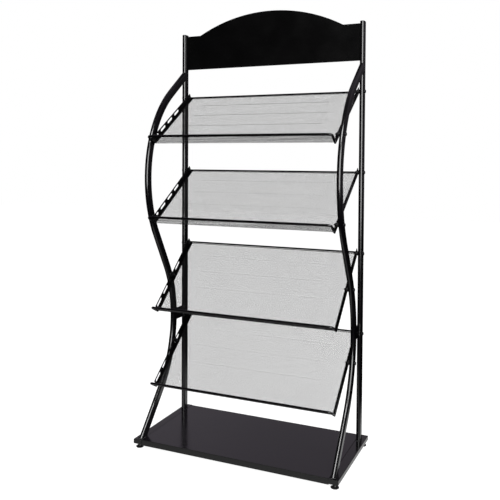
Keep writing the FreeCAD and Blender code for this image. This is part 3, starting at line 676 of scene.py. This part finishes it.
@dataclass
class Shelf:
    """One sloping shelf: its strands, pressed beads, lip and rim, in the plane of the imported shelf."""

    number: int
    tilt_deg: float
    rear_height: float
    rear_y: float = 147 * MM
    half_width: float = 309.8 * MM
    length: float = 312 * MM
    lip_length: float = 40 * MM
    lip_bend_deg: float = 66.0
    fold_gap: float = 0.15 * MM
    sheet: float = 1.2 * MM
    columns: int = 88
    rows: int = 88
    lip_rows: int = 11
    strand_width: float = 0.82 * MM
    strand_thickness: float = 0.3 * MM
    twist_deg: float = 22.6
    bead_first_row: float = 16.5
    bead_row_pitch: float = 20.0
    bead_count: int = 3
    bead_height: float = 1.0 * MM
    bead_pinch: float = 0.75
    bead_width: float = 10.0 * MM
    bead_fade: float = 8.0 * MM
    bead_half_length: float = 248 * MM
    rear_margin: float = 2.4 * MM
    lip_margin: float = 4.0 * MM
    rim_growth: float = 1.0 * MM
    rim_sharp_deg: float = 40.0

    def _plane(self) -> Matrix:
        """Frame of the shelf at its rear edge: -Y runs down the slope."""
        slope = Matrix.Rotation(radians(self.tilt_deg), 4, "X")
        return Matrix.Translation((0, self.rear_y, self.rear_height)) @ slope

    def _fold(self) -> Matrix:
        """Frame of the lip at its fold: -Y runs up the lip."""
        front = Matrix.Translation((0, -self.length - self.fold_gap, 0))
        return self._plane() @ front @ Matrix.Rotation(radians(-self.lip_bend_deg), 4, "X")

    def _strands(self, rows: int, length: float, twist_deg: float, margin: float,
                 place: float) -> dict[str, Any]:
        """Inputs of the expanded metal for one flat sheet without beads.

        Args:
            rows: diamonds along the sheet.
            length: length of the sheet.
            twist_deg: turn of the strands out of the sheet's plane.
            margin: width of the plain margin.
            place: place of the margin's middle along the sheet.

        Returns:
            Input name to value.
        """
        long_way, short_way = 2 * self.half_width / self.columns, length / rows
        return {
            "Columns": self.columns, "Rows": rows, "Diamond": Vector((long_way, short_way, 0)),
            "Span": Vector((long_way * (self.columns - 1), short_way * (rows - 1), 0)),
            "Centre": Vector((0, -length / 2, 0)), "Strand Width": self.strand_width,
            "Strand Thickness": self.strand_thickness, "Twist": radians(twist_deg),
            "Margin Size": Vector((2 * self.half_width, margin, 2 * self.strand_thickness)),
            "Margin Place": Vector((0, place, 0))}

    def _beads(self) -> dict[str, Any]:
        """Inputs of the expanded metal for the tray's beads.

        Returns:
            Input name to value.
        """
        short_way = self.length / self.rows
        first, pitch = self.bead_first_row * short_way, self.bead_row_pitch * short_way
        return {
            "First Bead": -first, "Second Bead": -first - pitch, "Last Bead": self.bead_count - 1.0,
            "Bead Reach": self.bead_width / pitch, "Bead Pull": self.bead_pinch * pitch,
            "Bead Height": self.bead_height, "Bead End": self.bead_half_length,
            "Bead Full": self.bead_half_length - self.bead_fade}

    def _rim(self, node: str) -> Mesh:
        """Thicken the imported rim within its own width.

        Args:
            node: packed rim.

        Returns:
            The rim's mesh.
        """
        low, high = corners_of(node)
        shape = merged(node)
        moves = [vert.normal * vert.calc_shell_factor() * self.rim_growth for vert in shape.verts]
        for vert, move in zip(shape.verts, moves):
            vert.co += move
            vert.co.x = min(max(vert.co.x, low.x), high.x)
        mesh = bpy.data.meshes.new(node + "_thick")
        shape.to_mesh(mesh)
        shape.free()
        mesh.shade_smooth()
        mesh.set_sharp_from_angle(angle=radians(self.rim_sharp_deg))
        return mesh

    def build(self, metal: ExpandedMetal, finishes: Finishes) -> None:
        """Make the strands of the tray and of the lip, and the rim.

        Args:
            metal: tree that lays the strands.
            finishes: the rack's materials.
        """
        name = f"shelf_{self.number}"
        finish = {"Finish": finishes.of[Slot.MESH]}
        core = Matrix.Translation((0, 0, self.sheet / 2))
        tray = metal.make(name + "_strands", finish | self._beads() | self._strands(
            self.rows, self.length, -self.twist_deg, self.rear_margin, -self.rear_margin / 2))
        tray.data.transform(self._plane() @ core)
        mount(tray, name + "_mesh")
        lip = metal.make(name + "_lip_strands", finish | self._strands(
            self.lip_rows, self.lip_length, self.twist_deg, self.lip_margin,
            self.lip_margin / 2 - self.lip_length))
        lip.data.transform(self._fold() @ core.inverted())
        mount(lip, name + "_lip")
        finishes.dress(self._rim(name + "_rim"), Slot.TUBE, name + "_rim")


@dataclass(frozen=True)
class Ring:
    """One ring of a turned piece; a hexagon's radius is to its flats."""

    radius: float
    height: float
    outline: Outline = Outline.ROUND
    cross_core: float = 0.3
    cross_sharpness: int = 4

    def reach(self, angle: float) -> float:
        """Distance from the axis at an angle.

        Args:
            angle: angle about the axis.

        Returns:
            The ring's radius there.
        """
        if self.outline is Outline.HEX:
            return self.radius / cos(angle % (pi / 3) - pi / 6)
        if self.outline is Outline.CROSS:
            wing = abs(cos(2 * angle)) ** self.cross_sharpness
            return self.radius * (self.cross_core + (1 - self.cross_core) * wing)
        return self.radius


def turned(name: str, rings: Sequence[Ring], bored: bool = False) -> Mesh:
    """Turn a piece about +Z from its rings, given from the foot up the outside."""
    return skin(name, [around(ring.reach, ring.height) for ring in rings], bored)


def dome(radius: float, height: float, rounding: float) -> list[Ring]:
    """Rings of a head whose rim is rounded, from its seat up."""
    return [Ring(radius, 0.0)] + [
        Ring(radius - rounding * across, height - rounding * down) for down, across in quarter()]


@dataclass
class Fasteners:
    """Socket bolts, flanged nuts and cross-recess screws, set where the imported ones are."""

    bolt_radius: float = 3 * MM
    bolt_head: float = 6 * MM
    bolt_head_height: float = 4 * MM
    bolt_head_round: float = 2.8 * MM
    bolt_length: float = 31 * MM
    bolt_thread: float = 14 * MM
    thread_pitch: float = 1 * MM
    thread_depth: float = 0.5 * MM
    socket_flat: float = 2 * MM
    socket_depth: float = 2.4 * MM
    nut_flat: float = 5 * MM
    nut_height: float = 5 * MM
    nut_flange: float = 7 * MM
    nut_flange_height: float = 1.2 * MM
    nut_bore: float = 3.3 * MM
    nut_bevel: float = 0.5 * MM
    screw_radius: float = 2 * MM
    screw_head: float = 4 * MM
    screw_head_height: float = 2.4 * MM
    screw_length: float = 12 * MM
    recess: float = 2.1 * MM

    def _thread(self, radius: float, start: float, end: float) -> list[Ring]:
        """Rings of a threaded stretch, from its tip up.

        Args:
            radius: outer radius.
            start: height of the tip.
            end: height at which the thread runs out.

        Returns:
            Rings of the stretch.
        """
        rings = [Ring(radius - self.thread_depth, start)]
        turns = int((end - start) / self.thread_pitch)
        for turn in range(turns):
            height = start + turn * self.thread_pitch
            rings.append(Ring(radius, height + 0.5 * self.thread_pitch))
            rings.append(Ring(radius - self.thread_depth, height + self.thread_pitch))
        return rings + [Ring(radius, start + (turns + 0.5) * self.thread_pitch)]

    def _bolt(self) -> Mesh:
        """Turn a button-head bolt with a hexagon socket, its head above the origin.

        Returns:
            The bolt's mesh.
        """
        tip, top = -self.bolt_length, self.bolt_head_height
        rings = self._thread(self.bolt_radius, tip, tip + self.bolt_thread) + [Ring(self.bolt_radius, 0.0)]
        rings += dome(self.bolt_head, top, self.bolt_head_round)
        rings += [Ring(self.socket_flat, height, Outline.HEX) for height in (top, top - self.socket_depth)]
        return turned("bolt", rings)

    def _nut(self) -> Mesh:
        """Turn a flanged hexagon nut, its flange on the origin.

        Returns:
            The nut's mesh.
        """
        flat, top, flange = self.nut_flat, self.nut_height, self.nut_flange_height
        return turned("nut", [
            Ring(self.nut_bore, 0.0), Ring(self.nut_flange, 0.0), Ring(self.nut_flange, flange / 2),
            Ring(flat + 2 * self.nut_bevel, flange), Ring(flat, flange, Outline.HEX),
            Ring(flat, top - self.nut_bevel, Outline.HEX), Ring(flat - self.nut_bevel, top),
            Ring(self.nut_bore, top)], bored=True)

    def _screw(self) -> Mesh:
        """Turn a pan-head screw with a cross recess, its head above the origin.

        Returns:
            The screw's mesh.
        """
        top = self.screw_head_height
        rings = self._thread(self.screw_radius, -self.screw_length, -self.thread_pitch)
        rings += [Ring(self.screw_radius, 0.0)] + dome(self.screw_head, top, top / 2)
        rings += [Ring(self.recess, top, Outline.CROSS), Ring(self.recess / 2, top / 2, Outline.CROSS)]
        return turned("screw", rings)

    def _spots(self, node: str, axis: Vector, inset: float, inward: bool) -> list[tuple[Vector, Euler]]:
        """Find the seats of a node's fasteners.

        Args:
            node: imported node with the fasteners.
            axis: line of the fasteners, as a unit vector.
            inset: from the head's end of a solid to the seat of its head.
            inward: whether the heads point to the middle of the rack.

        Returns:
            Place and turn of each fastener.
        """
        spots = []
        for low, high in loose_boxes(node):
            centre = (low + high) / 2
            outward = 1.0 if centre.dot(axis) > 0 else -1.0
            way = axis * (-outward if inward else outward)
            half = abs((high - low).dot(axis)) / 2
            spots.append((centre + way * (half - inset), way.to_track_quat("Z", "Y").to_euler()))
        return spots

    def build(self, finishes: Finishes) -> None:
        """Set every bolt, nut and screw.

        Args:
            finishes: the rack's materials.
        """
        copies = Copies()
        across, upright = Vector((1, 0, 0)), Vector((0, 0, 1))
        rows = (
            ("shelf_bolts", self._bolt(), across, self.bolt_head_height, False),
            ("shelf_nuts", self._nut(), across, self.nut_height, True),
            ("header_screws", self._screw(), across, self.screw_head_height, True),
            ("board_screws", self._screw(), upright, self.screw_head_height, True),
        )
        for node, part, axis, inset, inward in rows:
            spots = self._spots(node, axis, inset, inward)
            mount(copies.place(node + "_detailed", part, spots, finishes.of[Slot.ZINC]), node)


@dataclass
class Foot:
    """Levelling foot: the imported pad, and a stem with its thread cut."""

    name: str
    pitch: float = 1.25 * MM
    depth: float = 0.65 * MM
    rows_per_turn: int = 8
    point: float = 1.0 * MM

    def _reach(self, radius: float, top: float, height: float, angle: float) -> float:
        """Radius of the thread at a height and an angle.

        Args:
            radius: outer radius of the stem.
            top: length of the stem.
            height: height above the stem's foot.
            angle: angle about the stem.

        Returns:
            Distance from the stem's axis.
        """
        phase = (height / self.pitch - angle / (2 * pi)) % 1.0
        thread = radius - self.depth * (1 - abs(2 * phase - 1))
        return min(thread, radius - max(0.0, height - (top - self.point)))

    def build(self, finishes: Finishes) -> None:
        """Cut the stem.

        Args:
            finishes: the rack's materials.
        """
        node = f"foot_stem_{self.name}"
        low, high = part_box(node)
        radius, top = (high[0] - low[0]) / 2, high[2] - low[2]
        rows = int(top / self.pitch * self.rows_per_turn)
        heights = [top * row / rows for row in range(rows + 1)]
        stem = skin(node + "_threaded", [
            around(partial(self._reach, radius, top, height), height) for height in heights])
        stem.transform(Matrix.Translation(middle_of(node) - Vector((0, 0, top / 2))))
        finishes.dress(stem, Slot.ZINC, node, f"foot_{self.name}")


@dataclass
class Base:
    """Foot rails and their caps with square shoulders, and the edge band along the board's front."""

    shoulder: float = 2 * MM
    wall: float = 1.5 * MM
    insert_hole: float = 5.6 * MM
    drill_depth: float = 20 * MM
    cap_round: float = 1.2 * MM
    board_round: float = 2 * MM
    band: float = 2 * MM
    band_drop: float = 3 * MM
    band_round: float = 0.8 * MM

    def _outline(self, rail: str, inset: float, place: float) -> list[Vector]:
        """Outline of a rail or a cap, with rounded corners.

        Args:
            rail: packed rail.
            inset: from the rail's outside.
            place: place along the rail.

        Returns:
            Points of the closed outline.
        """
        low, high = corners_of(rail)
        left, right, foot, top = low.x + inset, high.x - inset, low.z + inset, high.z - inset
        corners = [(across, up, self.shoulder) for across, up in (
            (left, foot), (left, top), (right, top), (right, foot))]
        return [Vector((point.x, place, point.y)) for point in eased(corners)]

    def _cap(self, name: str, rail: str) -> Mesh:
        """Make the cap on one end of a rail, with a rounded rim.

        Args:
            name: packed cap.
            rail: packed rail.

        Returns:
            The cap's mesh.
        """
        low, high = corners_of(rail)
        cap_low, cap_high = corners_of(name)
        seat, face = (low.y, cap_low.y) if cap_low.y < low.y else (high.y, cap_high.y)
        back = copysign(self.cap_round, seat - face)
        outlines = [self._outline(rail, 0.0, seat)]
        outlines += [self._outline(rail, self.cap_round * across, face + back * along)
                     for along, across in quarter()]
        return skin(name + "_square", outlines)

    def _band(self) -> Mesh:
        """Make the edge band: it fills the round of the board's front edge and hangs a little below.

        Returns:
            The band's mesh.
        """
        low, high = corners_of("base_board")
        face, hem = low.y - self.band, low.z - self.band_drop
        section = eased(((face, hem, self.band_round), (face, high.z, self.band_round),
                         (low.y + self.board_round, high.z, 0), (low.y, hem, 0)))
        section[-1:-1] = [Vector((low.y + self.board_round * along, high.z - self.board_round * across))
                          for along, across in quarter()[1:]]
        return skin("board_edge_band", [
            [Vector((side, point.x, point.y)) for point in section] for side in (low.x, high.x)])

    def build(self, finishes: Finishes) -> None:
        """Make the base: a hollow, drilled rail with two caps on each side, and the band.

        Args:
            finishes: the rack's materials.
        """
        drilled = Drilled()
        for side in Side:
            rail = f"foot_rail_{side}"
            low, high = corners_of(rail)
            tube = skin(rail + "_tube", [self._outline(rail, inset, place) for inset, place in (
                (0.0, low.y), (0.0, high.y), (self.wall, high.y), (self.wall, low.y))], bored=True)
            front, rear = [middle_of(f"foot_stem_{end}_{side}") for end in End]
            mount(drilled.make(rail + "_square", {
                "First": front, "Step": rear - front, "Count": len(End), "Radius": self.insert_hole,
                "Depth": self.drill_depth, "Finish": finishes.of[Slot.TUBE]}, tube), rail)
            for end in End:
                cap = f"rail_cap_{end}_{side}"
                finishes.dress(self._cap(cap, rail), Slot.PLASTIC, cap)
        finishes.dress(self._band(), Slot.PLASTIC)


@dataclass
class SideFrames:
    """Posts, curved tubes, ties and rails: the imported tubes, joined by weld beads."""

    foot_angle_deg: float = 41.5
    weld_radius: float = 1.7 * MM
    weld_pitch: float = 1.5 * MM
    weld_squash: float = 0.75
    seam_steps: int = 48

    def _seams(self, side: Side) -> list[list[Vector]]:
        """Closed seams of one side frame: two flat-oval tubes on their rail, and both ends of the waist tie.

        Args:
            side: side of the rack.

        Returns:
            Points of each seam.
        """
        low, high = corners_of(f"rear_post_{side}")
        post = (low + high) / 2
        radius, half_depth = (high.x - low.x) / 2, (high.y - low.y) / 2
        cut = half_depth / cos(radians(self.foot_angle_deg))
        front = corners_of(f"curved_tube_{side}")[0].y
        top = corners_of(f"foot_rail_{side}")[1].z
        seams = []
        for y, half_length in ((post.y, half_depth), (front + cut, cut)):
            seam = []
            for step in range(self.seam_steps):
                angle = 2 * pi * step / self.seam_steps
                run = radius * sin(angle) + copysign(half_length - radius, sin(angle))
                seam.append(Vector((post.x + radius * cos(angle), y + run, top)))
            seams.append(seam)
        low, high = corners_of(f"waist_tie_{side}")
        for y in (low.y, high.y):
            seams.append([Vector((x, y, z)) for x, z in (
                (low.x, low.z), (high.x, low.z), (high.x, high.z), (low.x, high.z))])
        return seams

    def build(self, finishes: Finishes) -> None:
        """Lay the welds of both side frames.

        Args:
            finishes: the rack's materials.
        """
        weld = WeldBead()
        inputs = {"Pitch": self.weld_pitch, "Radius": self.weld_radius,
                  "Squash": Vector((1, 1, self.weld_squash)), "Finish": finishes.of[Slot.TUBE]}
        for side in Side:
            verts, edges = [], []
            for seam in self._seams(side):
                start = len(verts)
                verts += seam
                edges += [(start + index, start + (index + 1) % len(seam)) for index in range(len(seam))]
            base = bpy.data.meshes.new(f"seams_{side}")
            base.from_pydata(verts, edges, [])
            mount(weld.make(f"welds_{side}", inputs, base))


@dataclass(frozen=True)
class Ramp:
    """Smooth change of the room's level along one axis of the line of sight."""

    axis: str
    start: float
    end: float
    low: float = 0.0
    high: float = 1.0


@dataclass(frozen=True)
class Softbox:
    """Rectangular softbox that faces a point, with its power in watts."""

    name: str
    place: tuple[float, float, float]
    aim: tuple[float, float, float]
    size: tuple[float, float]
    power: float

    def hang(self) -> None:
        """Add the light to the scene."""
        data = bpy.data.lights.new(self.name, "AREA")
        data.shape = "RECTANGLE"
        data.size, data.size_y = self.size
        data.energy = self.power
        turn = (Vector(self.aim) - Vector(self.place)).to_track_quat("-Z", "Y")
        add_object(self.name, data).matrix_world = Matrix.Translation(self.place) @ turn.to_matrix().to_4x4()


@dataclass
class Studio:
    """Floor, light and camera."""

    floor_half: float = 9.0
    floor_tone: str = "#959595"
    floor_glow: float = 0.9
    floor_mirrored: float = 0.75
    floor_fade: tuple[float, float] = (0.45, 0.8)
    white: str = "#ffffff"
    black: str = "#000000"
    room_tone: str = "#f5ebfa"
    room_light: float = 0.45
    room_least: float = 0.02
    behind: Ramp = Ramp("Y", -0.25, 0.3)
    backdrop: Ramp = Ramp("Z", 0.08, 0.35, 0.04, 0.26)
    leftward: Ramp = Ramp("X", -0.5, -0.3, 1.25, 1.0)
    softboxes: tuple[Softbox, ...] = (
        Softbox("light wall", (1.79, -2.29, 1.4), (0, 0, 1.1), (2.4, 2.0), 150),
        Softbox("ceiling bank", (0.7, -1.85, 2.75), (0, -0.1, 0.3), (1.6, 0.7), 60),
    )
    camera_place: tuple[float, float, float] = (0.88713, -2.09474, 0.96441)
    yaw: float = 0.433246
    pitch: float = -0.028182
    roll: float = 0.004786
    focal_px: float = 685.98
    centre_px: tuple[float, float] = (230.79, 177.41)
    image_px: float = 500.0
    sensor_mm: float = 36.0

    def _add_camera(self) -> None:
        """Set the camera at the photograph's viewing angle."""
        data = bpy.data.cameras.new("camera")
        data.sensor_width = self.sensor_mm
        data.lens = self.focal_px / self.image_px * self.sensor_mm
        data.shift_x = 0.5 - self.centre_px[0] / self.image_px
        data.shift_y = self.centre_px[1] / self.image_px - 0.5
        turns = ((self.yaw, "Z"), (pi / 2 + self.pitch, "X"), (self.roll, "Z"))
        yaw, pitch, roll = [Matrix.Rotation(angle, 4, axis) for angle, axis in turns]
        camera = add_object("camera", data)
        camera.matrix_world = Matrix.Translation(self.camera_place) @ yaw @ pitch @ roll
        bpy.context.scene.camera = camera

    def _floor_paint(self) -> Material:
        """Mix the white floor: bright to the camera, and to the coat only close to the rack.

        Returns:
            The floor's material.
        """
        material = bpy.data.materials.new("white floor")
        add = blank(material)
        path = add("ShaderNodeLightPath").outputs
        place = add("ShaderNodeNewGeometry").outputs["Position"]
        away = add("ShaderNodeVectorMath", {0: place}, operation="LENGTH").outputs["Value"]
        near = add("ShaderNodeMapRange", {
            "Value": away, "From Min": self.floor_fade[1], "From Max": self.floor_fade[0]}, **SMOOTH)
        seen = add("ShaderNodeMath", {0: path["Is Camera Ray"], 1: self.floor_glow}, operation="MULTIPLY")
        mirrored = add("ShaderNodeMath", {0: near, 1: self.floor_mirrored}, operation="MULTIPLY")
        lift = add("ShaderNodeMix", {"Factor": path["Is Glossy Ray"], 2: seen, 3: mirrored})
        tone = add("ShaderNodeMix", {
            "Factor": path["Is Glossy Ray"], 6: linear(self.floor_tone), 7: linear(self.black)},
            data_type="RGBA")
        paint = add("ShaderNodeBsdfDiffuse", {"Color": tone.outputs[2]})
        glow = add("ShaderNodeEmission", {"Color": linear(self.white), "Strength": lift})
        add("ShaderNodeOutputMaterial", {"Surface": add("ShaderNodeAddShader", {0: paint, 1: glow})})
        return material

    def _add_floor(self) -> None:
        """Lay a plain white floor that takes a soft shadow."""
        half = self.floor_half
        mesh = bpy.data.meshes.new("floor")
        corners = [(-half, -half, 0), (half, -half, 0), (half, half, 0), (-half, half, 0)]
        mesh.from_pydata(corners, [], [range(len(corners))])
        mesh.materials.append(self._floor_paint())
        floor = add_object("floor", mesh)

    def _add_world(self) -> None:
        """Light the room: white to the camera, and to the coat a dim room with a pale upper backdrop."""
        world = bpy.data.worlds.new("studio")
        add = blank(world)
        path = add("ShaderNodeLightPath").outputs
        way = add("ShaderNodeSeparateXYZ", {0: add("ShaderNodeTexCoord").outputs["Generated"]}).outputs
        behind, backdrop, leftward = [add("ShaderNodeMapRange", {
            "Value": way[ramp.axis], "From Min": ramp.start, "From Max": ramp.end, "To Min": ramp.low,
            "To Max": ramp.high}, **SMOOTH)
            for ramp in (self.behind, self.backdrop, self.leftward)]
        shaded = add("ShaderNodeMath", {0: backdrop, 1: leftward}, operation="MULTIPLY")
        mirrored = add("ShaderNodeMath", {
            0: behind, 1: shaded, 2: self.room_least}, operation="MULTIPLY_ADD")
        lit = add("ShaderNodeMix", {"Factor": path["Is Glossy Ray"], 2: self.room_light, 3: mirrored})
        seen = add("ShaderNodeMath", {
            0: path["Is Camera Ray"], 1: path["Is Transmission Ray"]}, operation="MAXIMUM")
        strength = add("ShaderNodeMix", {"Factor": seen, 2: lit, 3: 1.0})
        tone = add("ShaderNodeMix", {
            "Factor": path["Is Glossy Ray"], 6: linear(self.white), 7: linear(self.room_tone)},
            data_type="RGBA")
        light = add("ShaderNodeBackground", {"Color": tone.outputs[2], "Strength": strength})
        add("ShaderNodeOutputWorld", {"Surface": light})
        bpy.context.scene.world = world

    def build(self) -> None:
        """Set up the stage."""
        self._add_camera()
        self._add_floor()
        self._add_world()
        for softbox in self.softboxes:
            softbox.hang()


SHELVES = (
    Shelf(1, 32.7, 1181 * MM),
    Shelf(2, 33.0, 915 * MM),
    Shelf(3, 41.0, 649 * MM),
    Shelf(4, 38.5, 383 * MM),
)
FEET = tuple(Foot(f"{end}_{side}") for end in End for side in Side)


def main() -> None:
    """Build the dressed rack."""
    logging.basicConfig(level=logging.INFO, format="%(name)s: %(message)s")
    bpy.context.scene.view_settings.view_transform = "Standard"
    finishes = Finishes()
    finishes.dress_nodes()
    log.info("finishes on %d nodes", len(frame["nodes"]))
    metal = ExpandedMetal()
    for shelf in SHELVES:
        shelf.build(metal, finishes)
    Fasteners().build(finishes)
    for foot in FEET:
        foot.build(finishes)
    Base().build(finishes)
    SideFrames().build(finishes)
    Studio().build()


if __name__ == "__main__":
    main()
